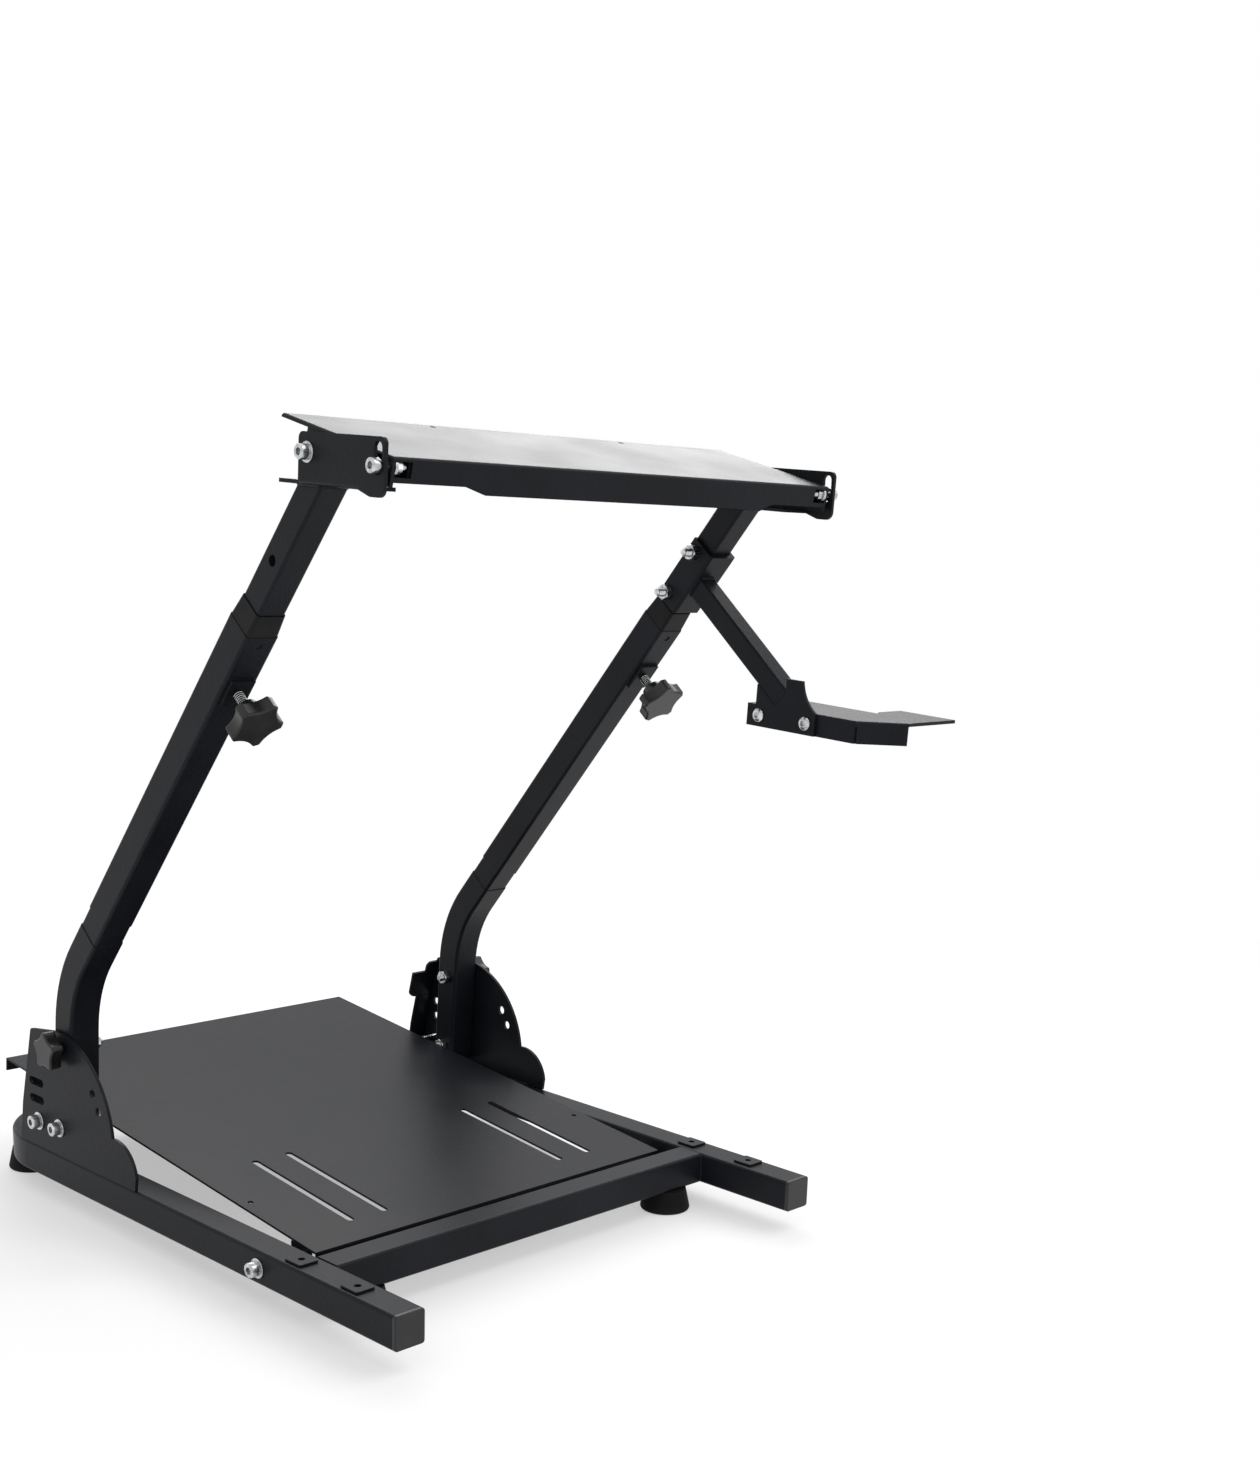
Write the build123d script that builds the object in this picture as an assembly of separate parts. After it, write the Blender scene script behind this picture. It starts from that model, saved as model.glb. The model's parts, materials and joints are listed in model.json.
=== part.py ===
import os
from math import cos, radians, sin, tan
from build123d import *

# Racing wheel stand in millimetres: +X driver's right, +Y away from the driver, +Z up, floor at z = 0

# Base of square tube
rail_size = 30.0
rail_corner = 3.0
base_width = 500.0
rail_front = -300.0
bend_start = 270.0
bend_radius = 85.0
cap_flange = 3.5
cap_plug = 12.0
cap_wall = 2.0
cap_edge = 1.2
crossbar_front = -188.0

# Rubber feet
foot_height = 22.0
foot_low_radius = 25.0
foot_high_radius = 20.0
foot_edge = 3.0
front_foot_inset = 34.0

# Small drilled plates on top of the rails
tab_length = 22.0
tab_width = 19.0
tab_thick = 2.0
tab_corner = 2.0
tab_rear = -160.0
tab_from_end = 65.0
tab_outward = 1.0
tab_hole_radius = 3.0
tab_hole_depth = 10.0

# Bolts and running fits
pin_radius = 4.0
pin_clearance = 0.05
pin_outside = 10.0
pin_end_gap = 0.5
cut_over = 1.0

# Side plates, measured from the bolt that the uprights turn on
pivot_y = 202.0
pivot_above = 28.0
plate_thick = 3.0
arc_radius = 94.0
arc_start = 88.0
arc_end = 172.3
toe_ahead = 130.0
bump_ahead = 132.0
bump_down = 16.0
bump_mid_ahead = 116.0
bump_mid_up = 8.0
heel_behind = 75.0
flare_behind = 69.0
flare_up = 10.0
corner_behind = 48.0
corner_up = 87.5
plate_corner = 4.0
flange_reach = 36.0
flange_step = 18.0
flange_low = 36.0
flange_mid = 66.0
flange_high = 77.0
flange_corner = 7.0
lock_radius = 78.0
lock_angle = 93.0
lock_hole_radius = 4.5
first_fold_hole = 142.5
second_fold_hole = 155.5
pedal_bolt_behind = 38.0
pedal_bolt_below = 2.0
slot_behind = 41.0
low_slot_up = 19.0
slot_pitch = 17.0
side_slot_length = 26.0
side_slot_width = 8.0

# Uprights
lean = 40.4
lower_lean = 3.5
tube_bend_radius = 125.0
upright_ahead = 302.5
upright_rise = 483.0
upper_size = 25.0
upper_corner = 2.5
lower_wall = 1.5
bore_corner = 1.6
tube_gap = 0.5
bore_depth = 290.0
below_pivot = 16.0
press_mark_at = -354.0
press_mark_length = 25.0
press_mark_depth = 0.6
dimple_at = -9.0
dimple_radius = 3.0
dimple_depth = 0.8
sleeve_height = 21.0
sleeve_low_size = 29.2
sleeve_high_size = 26.8
sleeve_corner = 3.0
sleeve_gap = 0.3
upper_out = 166.0
upper_in = 205.0
side_hole_radius = 4.5
side_hole_at = 66.0
side_hole_depth = 5.0

# Star knobs
knob_at = -58.0
knob_radius = 23.0
knob_head = 13.0
knob_hub = 9.5
knob_hub_radius = 13.0
knob_stand_off = 26.5
lock_knob_radius = 18.0
lock_knob_head = 12.0
lock_knob_hub = 4.0
lock_hub_radius = 9.0
star_points = 5
star_hollow = 1.76
star_corner = 0.06
knob_edge = 1.8
pad_length = 28.0
pad_width = 22.0
pad_thick = 3.0
pad_sink = 0.5

# Wheel plate and its brackets, measured from the tilt bolts
tilt_along = 161.1
tilt_behind = 9.75
bracket_drop = 2.8
bracket_thick = 3.0
cheek_behind = 11.4
cheek_ahead = 89.4
cheek_up = 14.3
cheek_down = 23.1
cheek_corner = 5.0
nose_drop = 4.0
nose_length = 16.0
nose_corner = 7.0
foot_plate_ahead = 60.5
foot_plate_behind = 40.5
bend_inside = 1.0
tilt_slot_radius = 82.0
tilt_slot_width = 9.0
tilt_slot_start = 175.3
tilt_slot_sweep = 9.9
tilt_bolt_angle = 6.6
tilt_bolt_radius = 3.2
tilt_pin_inside = 12.0
wheel_gap = 5.0
wheel_drop = 13.6
wheel_thick = 3.0
wheel_rear = 49.2
wheel_front = 87.3
wheel_above = 17.9
wheel_corner = 2.0
wheel_edge = 2.4
front_flange = 18.0
deep_flange = 23.5
nut_notch_wide = 18.0
nut_notch_below = 6.6
deep_inset = 69.5
deep_slope = 20.0
ear_behind = 14.6
ear_tail = 4.0
ear_lobe = 8.0
ear_drop = 11.0
ear_waist_at = 55.0
ear_waist = 1.0
ear_front = 3.4
rear_hole_x = 105.0
rear_hole_inset = 9.0
rear_hole_radius = 2.5

# Pedal plate
pedal_gap = 12.0
pedal_front = -141.0
pedal_rear = 383.0
pedal_below_rail = 5.7
pedal_slope = 6.05
pedal_thick = 2.0
pedal_lip = 13.5
pedal_edge = 1.6
pedal_pin_y = -118.0
pedal_ear_radius = 12.0
pedal_bolt_play = 0.3
pedal_pin_outside = 10.0
pedal_slot_inner = 107.0
pedal_slot_outer = 144.0
pedal_slot_width = 7.0
pedal_slot_length = 150.0
pedal_slot_front = -107.0
pedal_hole_inset = 11.0
pedal_hole_y = -30.0
pedal_hole_radius = 2.5

# Shifter holder
saddle_bottom = 26.0
saddle_top = 94.0
saddle_thick = 4.0
saddle_gap = 0.5
saddle_wrap = 11.0
saddle_corner = 3.0
arm_size = 20.0
arm_corner = 2.0
arm_at = 59.0
arm_reach = 161.0
gusset_thick = 3.0
gusset_behind = 38.98
gusset_length = 79.5
gusset_shoulder = 9.5
gusset_neck = 40.5
gusset_high = 47.0
gusset_top_back = 40.0
gusset_top_front = 62.0
gusset_hollow = 68.0
gusset_hollow_up = 31.0
shifter_below = 27.06
shifter_tilt = 2.8
shifter_length = 123.5
shifter_flange = 20.0
shifter_thick = 3.0
shifter_edge = 2.2
shelf_wide = 68.0
shifter_wide = 110.0
slant_ahead = 28.0
slant_width = 40.0
platform_depth = 61.8
platform_blend = 8.0
notch_width = 1.6
notch_depth = 15.0

half_base = base_width / 2
rail_x = half_base - rail_size / 2
rail_z = foot_height + rail_size / 2
rail_top = foot_height + rail_size
bar_half = rail_x - rail_size / 2
plate_inner = half_base - plate_thick
pivot_z = rail_top + pivot_above
tube_outer = plate_inner - tube_gap
tube_inner = tube_outer - rail_size
tube_x = tube_outer - rail_size / 2
tube_top_y = pivot_y - upright_ahead
tube_top_z = pivot_z + upright_rise
tab_front = rail_front + tab_from_end
bracket_inner = half_base - bracket_thick
bend_outside = bend_inside + bracket_thick
wheel_half = bracket_inner - wheel_gap
pedal_half = half_base - rail_size - pedal_gap
pedal_front_z = rail_top - pedal_below_rail
pedal_pin_z = rail_z
pedal_bolt_y = pivot_y + pedal_bolt_behind
pedal_bolt_z = pivot_z - pedal_bolt_below


def slab(x0, x1, y0, y1, z0, z1):
    return Pos((x0 + x1) / 2, (y0 + y1) / 2, (z0 + z1) / 2) * Box(x1 - x0, y1 - y0, z1 - z0)


def side_sheet(face, x0, x1):
    return extrude(Plane.YZ.offset(x0) * face, x1 - x0)


def rod_x(y, z, radius, x0, x1):
    return Pos((x0 + x1) / 2, y, z) * Rot(0, 90, 0) * Cylinder(radius, x1 - x0)


def square_section(size, corner):
    return RectangleRounded(size, size, corner)


def round_off(face, point, radius):
    vertex = face.vertices().sort_by_distance((point[0], point[1], 0))[0]
    return fillet(vertex, radius)


def turn_x(shape, y, z, angle):
    return Pos(0, y, z) * Rot(angle, 0, 0) * Pos(0, -y, -z) * shape


def other_side(shape):
    return mirror(shape, about=Plane.YZ)


def star_knob(radius, head, hub, hub_radius):
    star = Circle(radius)
    for i in range(star_points):
        star -= Rot(0, 0, 360 * i / star_points) * Pos(star_hollow * radius, 0) * Circle(radius)
    star = fillet(star.vertices(), star_corner * radius)
    body = extrude(star, head)
    body = fillet(body.faces().sort_by(Axis.Z)[-1].edges(), knob_edge)
    body = fillet(body.faces().sort_by(Axis.Z)[0].edges(), knob_edge)
    return body + Pos(0, 0, -hub / 2 + 0.5) * Cone(0.7 * hub_radius, hub_radius, hub + 1)


# Direction of the leaning tubes and of their front face
along = Vector(0, -sin(radians(lean)), cos(radians(lean)))
ahead = Vector(0, -cos(radians(lean)), -sin(radians(lean)))


def on_tube(s, n):
    y = tube_top_y + s * along.Y + n * ahead.Y
    z = tube_top_z + s * along.Z + n * ahead.Z
    return (y, z)


def tube_frame(x, s, n=0.0):
    y, z = on_tube(s, n)
    return Plane(origin=(x, y, z), x_dir=(1, 0, 0), z_dir=tuple(along))


def ahead_frame(s, n):
    y, z = on_tube(s, n)
    return Plane(origin=(tube_x, y, z), x_dir=(1, 0, 0), z_dir=tuple(ahead))


def from_pivot(y, z):
    return (pivot_y + y, pivot_z + z)


def around_pivot(radius, angle):
    return from_pivot(radius * cos(radians(angle)), radius * sin(radians(angle)))


parts = {}

# Base frame: one square tube bent to a U, open to the front
rear_y = bend_start + bend_radius
tube_front = rail_front + cap_flange
base_path = Line((-rail_x, tube_front, rail_z), (-rail_x, bend_start, rail_z))
base_path += CenterArc((-rail_x + bend_radius, bend_start, rail_z), bend_radius, 180, -90)
base_path += Line((-rail_x + bend_radius, rear_y, rail_z), (rail_x - bend_radius, rear_y, rail_z))
base_path += CenterArc((rail_x - bend_radius, bend_start, rail_z), bend_radius, 90, -90)
base_path += Line((rail_x, bend_start, rail_z), (rail_x, tube_front, rail_z))
base_plane = Plane(origin=(-rail_x, tube_front, rail_z), x_dir=(1, 0, 0), z_dir=(0, 1, 0))
base_frame = sweep(base_plane * square_section(rail_size, rail_corner), path=base_path)
plug_size = rail_size - 2 * cap_wall
for side in (-1, 1):
    plug = Box(plug_size, cap_plug + cut_over, plug_size)
    base_frame -= Pos(side * rail_x, tube_front + (cap_plug - cut_over) / 2, rail_z) * plug
    middle = side * rail_x
    base_frame -= rod_x(pedal_pin_y, pedal_pin_z, pin_radius, middle - rail_size, middle + rail_size)
    for y in (tab_rear, tab_front):
        hole = Cylinder(tab_hole_radius, 2 * tab_hole_depth)
        base_frame -= Pos(side * (rail_x + tab_outward), y, rail_top) * hole
parts["base_frame"] = base_frame

crossbar_y = crossbar_front + rail_size / 2
bar_plane = Plane(origin=(-bar_half, crossbar_y, rail_z), x_dir=(0, 1, 0), z_dir=(1, 0, 0))
parts["crossbar"] = extrude(bar_plane * square_section(rail_size, rail_corner), 2 * bar_half)

# End caps with plugs that press into the rails
cap_plane = Plane(origin=(rail_x, rail_front, rail_z), x_dir=(1, 0, 0), z_dir=(0, 1, 0))
cap = extrude(cap_plane * square_section(rail_size, rail_corner), cap_flange)
cap = fillet(cap.faces().sort_by(Axis.Y)[0].edges(), cap_edge)
plug_long = cap_plug - 2 * pin_end_gap
cap += Pos(rail_x, tube_front + plug_long / 2, rail_z) * Box(plug_size, plug_long, plug_size)
parts["rail_cap_right"] = cap
parts["rail_cap_left"] = other_side(cap)

# Rubber feet shaped as cut cones
foot = Cone(foot_low_radius, foot_high_radius, foot_height)
foot = fillet(foot.edges().sort_by(Axis.Z)[0], foot_edge)
foot = Pos(0, 0, foot_height / 2) * foot
bend_x = rail_x - bend_radius + bend_radius * cos(radians(45))
bend_y = bend_start + bend_radius * sin(radians(45))
front_foot_x = bar_half - front_foot_inset
for side, word in ((1, "right"), (-1, "left")):
    parts["foot_front_" + word] = Pos(side * front_foot_x, crossbar_y, 0) * foot
    parts["foot_rear_" + word] = Pos(side * bend_x, bend_y, 0) * foot

# Tabs on the rails
tab = Box(tab_width, tab_length, tab_thick)
tab = fillet(tab.edges().filter_by(Axis.Z), tab_corner)
tab -= Cylinder(tab_hole_radius, tab_thick + 2 * cut_over)
tab_x = rail_x + tab_outward
tab_z = rail_top + tab_thick / 2
for side, word in ((1, "right"), (-1, "left")):
    parts["tab_front_" + word] = Pos(side * tab_x, tab_front, tab_z) * tab
    parts["tab_rear_" + word] = Pos(side * tab_x, tab_rear, tab_z) * tab

# Side plate: round top about the pivot, a step and a bump in front, a straight slanted rear edge
heel = (pivot_y + heel_behind, rail_top)
flare = from_pivot(flare_behind, flare_up)
corner = from_pivot(corner_behind, corner_up)
arc_top = around_pivot(arc_radius, arc_start)
arc_low = around_pivot(arc_radius, arc_end)
arc_mid = around_pivot(arc_radius, (arc_start + arc_end) / 2)
bump_mid = from_pivot(-bump_mid_ahead, bump_mid_up)
bump_low = from_pivot(-bump_ahead, -bump_down)
toe = (pivot_y - toe_ahead, rail_top)
outline = Polyline(toe, heel, flare, corner, arc_top)
outline += ThreePointArc(arc_top, arc_mid, arc_low)
outline += ThreePointArc(arc_low, bump_mid, bump_low)
outline += Line(bump_low, toe)
plate_face = round_off(make_face(outline), corner, plate_corner)
plate_face -= Pos(*from_pivot(0, 0)) * Circle(pin_radius)
plate_face -= Pos(pedal_bolt_y, pedal_bolt_z) * Circle(pin_radius)
lock_y, lock_z = around_pivot(lock_radius, lock_angle)
plate_face -= Pos(lock_y, lock_z) * Circle(pin_radius)
for angle in (first_fold_hole, second_fold_hole):
    plate_face -= Pos(*around_pivot(lock_radius, angle)) * Circle(lock_hole_radius)
for i in range(2):
    slot_centre = from_pivot(slot_behind, low_slot_up + i * slot_pitch)
    plate_face -= Pos(*slot_centre) * SlotOverall(side_slot_length, side_slot_width)
side_plate = side_sheet(plate_face, plate_inner, half_base)

# Stiffening flange bent inwards along the top of the rear edge
edge_dir = Vector(0, corner_behind - flare_behind, corner_up - flare_up).normalized()
flange_out = Vector(0, edge_dir.Z, -edge_dir.Y)
flange_plane = Plane(origin=(plate_inner, flare[0], flare[1]), x_dir=(-1, 0, 0), z_dir=tuple(flange_out))
inward = flange_reach - plate_thick
step_in = flange_step - plate_thick
flange_line = Polyline((-0.5, flange_low), (inward, flange_low), (inward, flange_mid), (step_in, flange_mid),
                       (step_in, flange_high), (-0.5, flange_high), close=True)
flange_face = round_off(make_face(flange_line), (step_in, flange_high), flange_corner)
flange_face = round_off(flange_face, (inward, flange_low), flange_corner)
side_plate += extrude(flange_plane * flange_face, -plate_thick)
parts["side_plate_right"] = side_plate
parts["side_plate_left"] = other_side(side_plate)

# Bolts that the uprights turn on
pivot_pin = rod_x(pivot_y, pivot_z, pin_radius, pedal_half + pin_end_gap, half_base + pin_outside)
parts["fold_pin_right"] = pivot_pin
parts["fold_pin_left"] = other_side(pivot_pin)

# Lock knobs outside the side plates
lock_head = star_knob(lock_knob_radius, lock_knob_head, lock_knob_hub, lock_hub_radius)
lock_knob = Pos(half_base + lock_knob_hub, lock_y, lock_z) * Rot(0, 90, 0) * lock_head
lock_knob += rod_x(lock_y, lock_z, pin_radius, plate_inner, half_base + lock_knob_hub)
parts["lock_knob_right"] = lock_knob
parts["lock_knob_left"] = other_side(lock_knob)

# Lower upright: square tube bent near its foot, open at the top for the upper tube
low_dir = Vector(0, -sin(radians(lower_lean)), cos(radians(lower_lean)))
slope_low = tan(radians(lower_lean))
slope_up = tan(radians(lean))
corner_z = (tube_top_y + slope_up * tube_top_z - pivot_y - slope_low * pivot_z) / (slope_up - slope_low)
corner_y = pivot_y - slope_low * (corner_z - pivot_z)
reach = tube_bend_radius * tan(radians((lean - lower_lean) / 2))
bend_low = (tube_x, corner_y - low_dir.Y * reach, corner_z - low_dir.Z * reach)
bend_high = (tube_x, corner_y + along.Y * reach, corner_z + along.Z * reach)
tube_low = (tube_x, pivot_y - low_dir.Y * below_pivot, pivot_z - low_dir.Z * below_pivot)
tube_high = (tube_x, tube_top_y, tube_top_z)
tube_path = Line(tube_low, bend_low)
tube_path += TangentArc(bend_low, bend_high, tangent=tuple(low_dir))
tube_path += Line(bend_high, tube_high)
tube_plane = Plane(origin=tube_low, x_dir=(1, 0, 0), z_dir=tuple(low_dir))
lower_tube = sweep(tube_plane * square_section(rail_size, rail_corner), path=tube_path)
bore_size = rail_size - 2 * lower_wall
bore_face = tube_frame(tube_x, -bore_depth) * square_section(bore_size, bore_corner)
lower_tube -= extrude(bore_face, bore_depth + sleeve_height)
mark_size = rail_size - 2 * press_mark_depth
mark_ring = square_section(2 * rail_size, rail_corner) - square_section(mark_size, rail_corner)
lower_tube -= extrude(tube_frame(tube_x, press_mark_at - press_mark_length) * mark_ring, press_mark_length)
pad_plane = ahead_frame(knob_at, rail_size / 2 + pad_thick / 2 - pad_sink / 2)
lower_tube += pad_plane * Box(pad_width, pad_length, pad_thick + pad_sink)
lower_tube -= ahead_frame(knob_at, rail_size / 2) * Cylinder(pin_radius, rail_size)
lower_tube -= ahead_frame(dimple_at, rail_size / 2) * Cylinder(dimple_radius, 2 * dimple_depth)
lower_tube -= rod_x(pivot_y, pivot_z, pin_radius + pin_clearance, tube_inner - 1, tube_outer + 1)
lower_tube -= rod_x(lock_y, lock_z, lock_hole_radius, tube_inner - 1, tube_outer + 1)
parts["lower_tube_right"] = lower_tube
parts["lower_tube_left"] = other_side(lower_tube)

# Plastic sleeves on top of the lower uprights, tapered towards the upper tubes
sleeve_bore = upper_size + 2 * sleeve_gap
sleeve_low = tube_frame(tube_x, 0) * square_section(sleeve_low_size, sleeve_corner)
sleeve_high = tube_frame(tube_x, sleeve_height) * square_section(sleeve_high_size, sleeve_corner)
sleeve = loft([sleeve_low, sleeve_high])
sleeve_hole = tube_frame(tube_x, -cut_over) * square_section(sleeve_bore, upper_corner)
sleeve -= extrude(sleeve_hole, sleeve_height + 2 * cut_over)
parts["sleeve_right"] = sleeve
parts["sleeve_left"] = other_side(sleeve)

# Height knobs whose studs screw through the pads
head_at = rail_size / 2 + knob_stand_off
height_knob = ahead_frame(knob_at, head_at) * star_knob(knob_radius, knob_head, knob_hub, knob_hub_radius)
stud_tip = upper_size / 2 + sleeve_gap
stud_long = head_at - stud_tip
height_knob += ahead_frame(knob_at, stud_tip + stud_long / 2) * Cylinder(pin_radius, stud_long)
parts["height_knob_right"] = height_knob
parts["height_knob_left"] = other_side(height_knob)

# Wheel brackets: a foot plate on top of each upper tube, bent up along its outer edge to an upright cheek
tilt_y, tilt_z = on_tube(tilt_along, -tilt_behind)
nose_low = -cheek_down - nose_drop
nose_back = -cheek_ahead + nose_length
bend_top = bend_outside - cheek_down
cheek_line = Polyline((cheek_behind, cheek_up), (-cheek_ahead, cheek_up), (-cheek_ahead, nose_low),
                      (nose_back, nose_low), (-foot_plate_ahead, -cheek_down), (-foot_plate_ahead, bend_top),
                      (cheek_behind, bend_top), close=True)
cheek_face = make_face(cheek_line)
cheek_face = round_off(cheek_face, (cheek_behind, cheek_up), cheek_corner)
cheek_face = round_off(cheek_face, (-cheek_ahead, cheek_up), cheek_corner)
cheek_face = round_off(cheek_face, (-cheek_ahead, nose_low), nose_corner)
cheek_face = round_off(cheek_face, (nose_back, nose_low), nose_corner)
tilt_slot = SlotArc(CenterArc((0, 0), tilt_slot_radius, tilt_slot_start, tilt_slot_sweep), tilt_slot_width)
cheek_face -= tilt_slot
cheek_face -= Circle(pin_radius)
bracket = side_sheet(cheek_face, bracket_inner, half_base)
foot_inner = tube_x - rail_size / 2
foot_top = bracket_thick - cheek_down
bend_line = Polyline((half_base, bend_top + cut_over), (half_base, -cheek_down), (foot_inner, -cheek_down),
                     (foot_inner, foot_top), (bracket_inner, foot_top), (bracket_inner, bend_top + cut_over),
                     close=True)
bend_face = round_off(make_face(bend_line), (half_base, -cheek_down), bend_outside)
bend_face = round_off(bend_face, (bracket_inner, foot_top), bend_inside)
bracket += extrude(Plane.XZ.offset(-cheek_behind) * bend_face, cheek_behind + foot_plate_ahead)
tongue_outer = half_base - bend_outside
bracket += slab(foot_inner, tongue_outer, cheek_behind - cut_over, foot_plate_behind, -cheek_down, foot_top)
bracket = turn_x(Pos(0, tilt_y, tilt_z) * bracket, tilt_y, tilt_z, bracket_drop)
parts["bracket_right"] = bracket
parts["bracket_left"] = other_side(bracket)

# Upper tubes, cut off below the foot plates
upper_face = tube_frame(tube_x, -upper_in) * square_section(upper_size, upper_corner)
upper_tube = extrude(upper_face, upper_in + upper_out)
above = slab(tube_x - rail_size, tube_x + rail_size, -upper_out, upper_out, -cheek_down, upper_out)
upper_tube -= turn_x(Pos(0, tilt_y, tilt_z) * above, tilt_y, tilt_z, bracket_drop)
hole_y, hole_z = on_tube(side_hole_at, 0)
tube_side = tube_x + upper_size / 2
upper_tube -= rod_x(hole_y, hole_z, side_hole_radius, tube_side - side_hole_depth, tube_side + 1)
parts["upper_tube_right"] = upper_tube
parts["upper_tube_left"] = other_side(upper_tube)

# Tilt bolts through the cheeks
tilt_pin = rod_x(tilt_y, tilt_z, pin_radius, wheel_half - tilt_pin_inside, half_base + pin_outside - 1)
parts["tilt_pin_right"] = tilt_pin
parts["tilt_pin_left"] = other_side(tilt_pin)

# Wheel plate, drawn level about the tilt bolts and then tipped towards the driver
under = wheel_above - wheel_thick
sheet = slab(-wheel_half, wheel_half, -wheel_front, wheel_rear, under, wheel_above)
sheet = fillet(sheet.edges().filter_by(Axis.Z).sort_by(Axis.Y)[-2:], wheel_corner)
ear_line = Polyline((ear_behind, under + 1), (ear_behind, -ear_tail), (ear_lobe, -ear_drop), (0, -ear_drop),
                    (-ear_waist_at, -ear_waist), (-wheel_front, -ear_front), (-wheel_front, under + 1),
                    close=True)
ear_face = make_face(ear_line) - Circle(pin_radius + pin_clearance)
bolt_angle = radians(180 + tilt_bolt_angle - wheel_drop)
bolt_spot = (tilt_slot_radius * cos(bolt_angle), tilt_slot_radius * sin(bolt_angle))
ear_face -= Pos(*bolt_spot) * Circle(tilt_bolt_radius)
ear = side_sheet(ear_face, wheel_half - wheel_thick, wheel_half)
lip_line = Polyline((-wheel_half, under + 1), (-wheel_half, wheel_above - front_flange),
                    (deep_inset - wheel_half, wheel_above - front_flange),
                    (deep_inset + deep_slope - wheel_half, wheel_above - deep_flange),
                    (0, wheel_above - deep_flange), (0, under + 1), close=True)
half_lip = extrude(Plane.XZ.offset(wheel_front) * make_face(lip_line), -wheel_thick)
notch_back = wheel_thick + cut_over - wheel_front
half_lip -= slab(wheel_thick - wheel_half, nut_notch_wide - wheel_half, -wheel_front - cut_over, notch_back,
                 bolt_spot[1] - nut_notch_below, under)
wheel_plate = sheet + ear + other_side(ear) + half_lip + other_side(half_lip)
top_edges = wheel_plate.faces().sort_by(Axis.Z)[-1].edges()
front_edge = top_edges.sort_by(Axis.Y)[0]
side_edges = top_edges.filter_by(Axis.Y)
wheel_plate = fillet([front_edge, *side_edges], wheel_edge)
rear_hole_y = wheel_rear - rear_hole_inset
for side in (-1, 1):
    wheel_plate -= Pos(side * rear_hole_x, rear_hole_y, under) * Cylinder(rear_hole_radius, 4 * wheel_thick)
wheel_plate = Pos(0, tilt_y, tilt_z) * wheel_plate
parts["wheel_plate"] = turn_x(wheel_plate, tilt_y, tilt_z, wheel_drop)

# Pedal plate, drawn level about its front edge and then raised at the rear
pedal_end = pedal_front + (pedal_rear - pedal_front) / cos(radians(pedal_slope))
pedal_low = pedal_front_z - pedal_thick
pedal = slab(-pedal_half, pedal_half, pedal_front, pedal_end, pedal_low, pedal_front_z)
lip_low = pedal_front_z - pedal_lip
pedal += slab(-pedal_half, pedal_half, pedal_end - pedal_thick, pedal_end, lip_low, pedal_front_z)
rear_edge = pedal.faces().sort_by(Axis.Z)[-1].edges().sort_by(Axis.Y)[-1]
pedal = fillet(rear_edge, pedal_edge)
slot_middle = pedal_slot_front + pedal_slot_length / 2
slot_face = Rot(0, 0, 90) * SlotOverall(pedal_slot_length, pedal_slot_width)
for side in (-1, 1):
    for x in (pedal_slot_inner, pedal_slot_outer):
        slot_place = Pos(side * x, slot_middle, pedal_low - cut_over)
        pedal -= extrude(slot_place * slot_face, pedal_thick + 2 * cut_over)
    hole_x = side * (pedal_half - pedal_hole_inset)
    pedal -= Pos(hole_x, pedal_hole_y, pedal_front_z) * Cylinder(pedal_hole_radius, 4 * pedal_thick)
pedal = turn_x(pedal, pedal_front, pedal_front_z, pedal_slope)


def pedal_ear(y, z, hole_radius):
    under_plate = pedal_front_z + (y - pedal_front) * tan(radians(pedal_slope)) - pedal_thick + 0.4
    face = Pos(y, (z + under_plate) / 2) * Rectangle(2 * pedal_ear_radius, under_plate - z)
    face += Pos(y, z) * Circle(pedal_ear_radius)
    face -= Pos(y, z) * Circle(hole_radius)
    return side_sheet(face, pedal_half - pedal_thick, pedal_half)


ears = pedal_ear(pedal_pin_y, pedal_pin_z, pin_radius + pin_clearance)
ears += pedal_ear(pedal_bolt_y, pedal_bolt_z, pin_radius + pedal_bolt_play)
above_plate = slab(-base_width, base_width, -base_width, 2 * base_width, pedal_front_z - 0.5, base_width)
ears -= turn_x(above_plate, pedal_front, pedal_front_z, pedal_slope)
parts["pedal_plate"] = pedal + ears + other_side(ears)

pin_start = pedal_half - pedal_gap
pedal_pin = rod_x(pedal_pin_y, pedal_pin_z, pin_radius, pin_start, half_base + pedal_pin_outside)
parts["pedal_pin_right"] = pedal_pin
parts["pedal_pin_left"] = other_side(pedal_pin)

# Saddle of bent sheet around the front of the right upper tube
saddle_inside = upper_size / 2 + saddle_gap
saddle_half = saddle_inside + saddle_thick
wrap_line = Polyline((-saddle_half, saddle_wrap), (-saddle_half, -saddle_half), (saddle_half, -saddle_half),
                     (saddle_half, saddle_wrap), close=True)
wrap_face = round_off(make_face(wrap_line), (-saddle_half, -saddle_half), saddle_corner)
wrap_face = round_off(wrap_face, (saddle_half, -saddle_half), saddle_corner)
tube_room = Rectangle(2 * saddle_inside, 2 * (saddle_wrap + saddle_inside))
saddle_face = wrap_face - Pos(0, saddle_wrap) * tube_room
saddle_plane = tube_frame(tube_x, saddle_bottom)
parts["shifter_saddle"] = extrude(saddle_plane * saddle_face, saddle_top - saddle_bottom)

# Arm that stands square on the saddle and runs forward and down, its inner face level with the gusset's
arm_face = ahead_frame(arm_at, saddle_half) * Pos(-gusset_thick, 0) * square_section(arm_size, arm_corner)
parts["shifter_arm"] = extrude(arm_face, arm_reach - saddle_half)

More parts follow.
